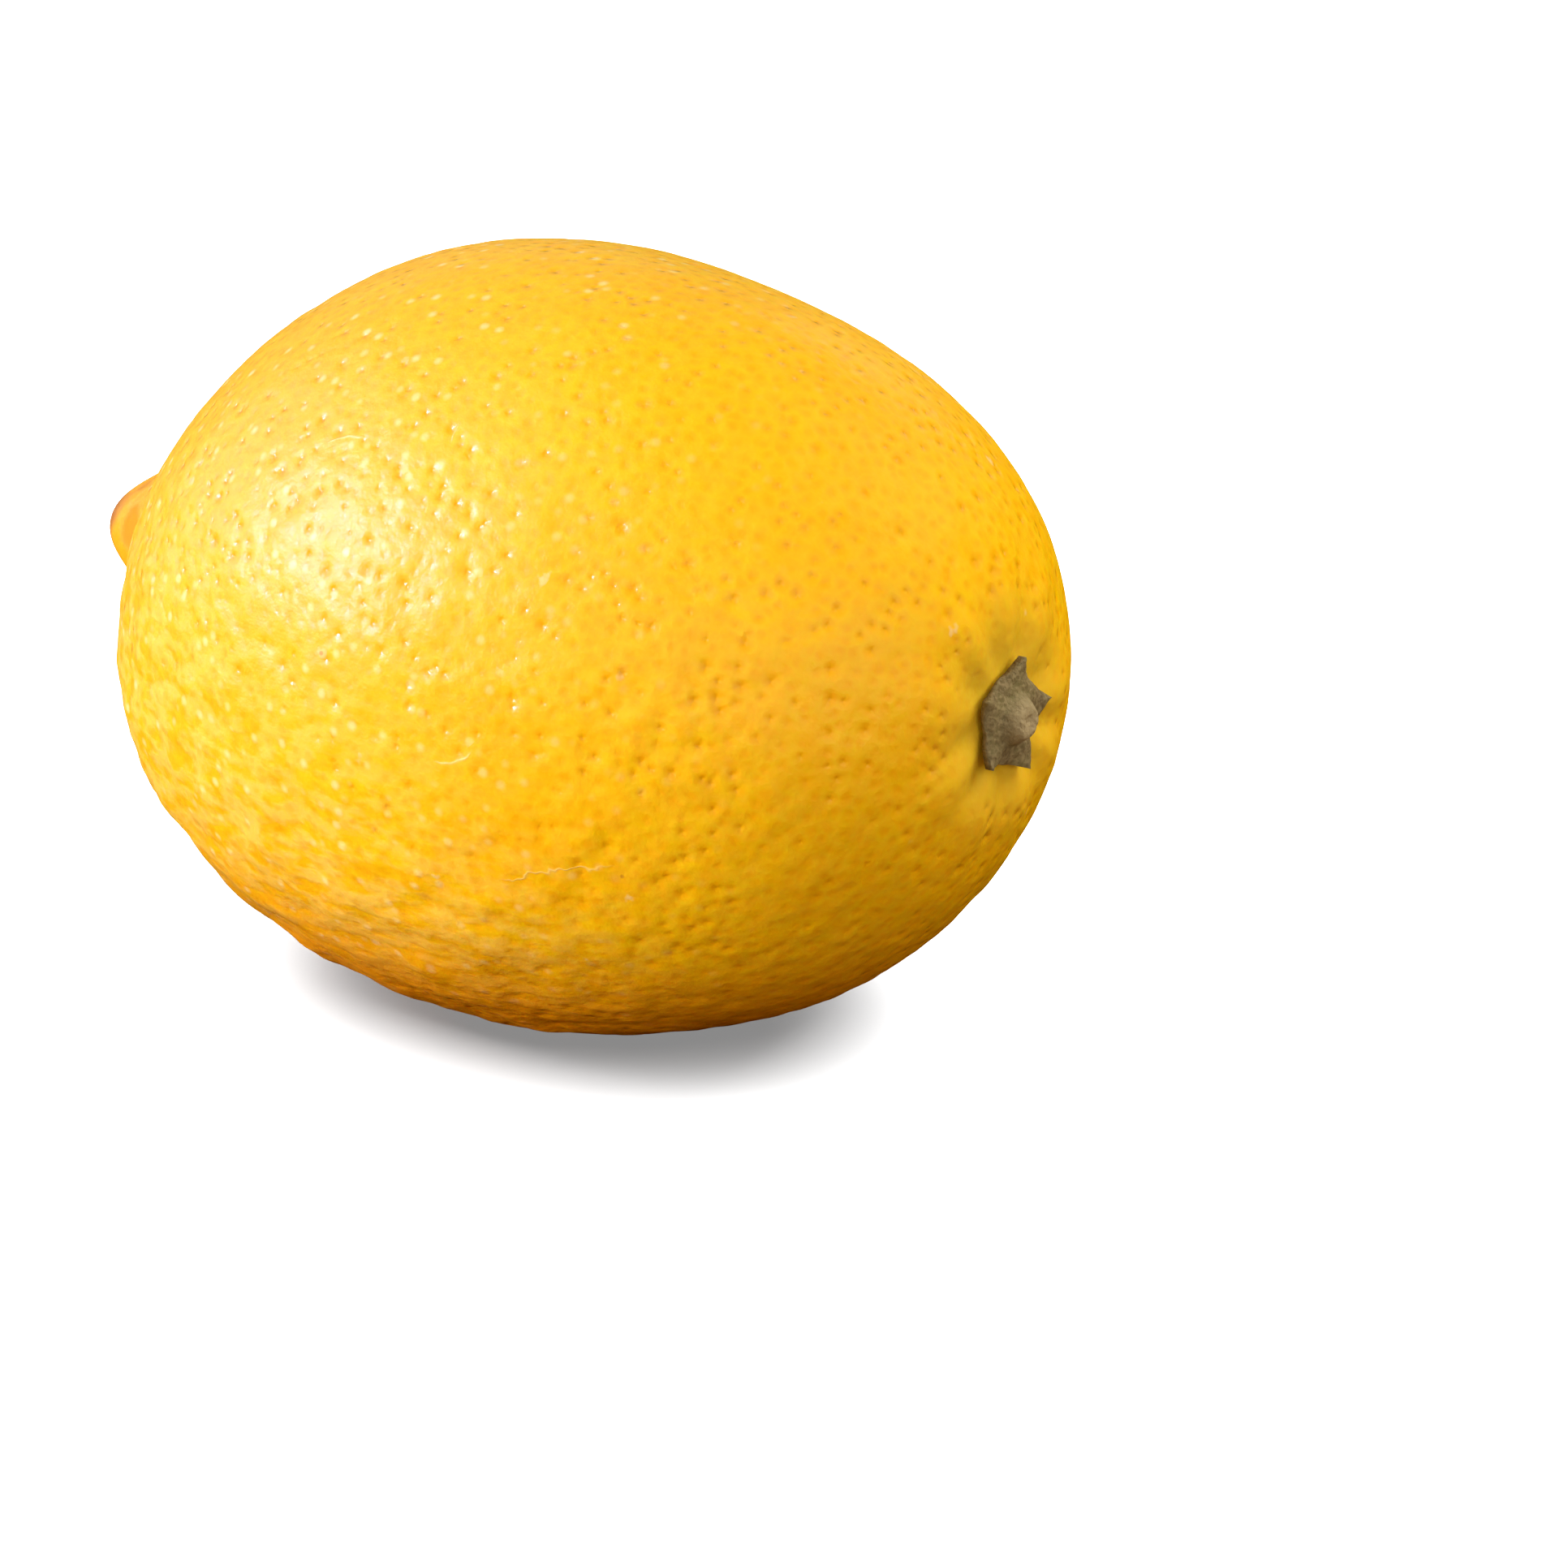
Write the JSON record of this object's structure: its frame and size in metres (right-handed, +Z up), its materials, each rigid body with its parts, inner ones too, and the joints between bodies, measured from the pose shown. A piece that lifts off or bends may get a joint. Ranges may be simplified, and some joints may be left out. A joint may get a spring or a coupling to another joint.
{
  "type": "whole lemon",
  "caption": "Whole ripe yellow lemon lying on its side: pitted oval rind, blossom-end nipple, dry stem button in a shallow dimple.",
  "frame": {"origin": "under the middle of the lemon's bounding box, on the surface that it rests on", "axes": "+X along the fruit towards the stem end (the nipple is at -X), +Z up, +Y across; the long axis is tipped 3.8 degrees up towards the stem end"},
  "size_m": [0.0858, 0.06, 0.0594],
  "materials": {
    "rind": "waxy satin, finely pitted, yellow-orange",
    "dry_button": "dry and matt, corky, brown with a green tinge"
  },
  "bodies": {
    "root": {"fruit": "rind", "stem_button": "dry_button"}
  },
  "joints": []
}
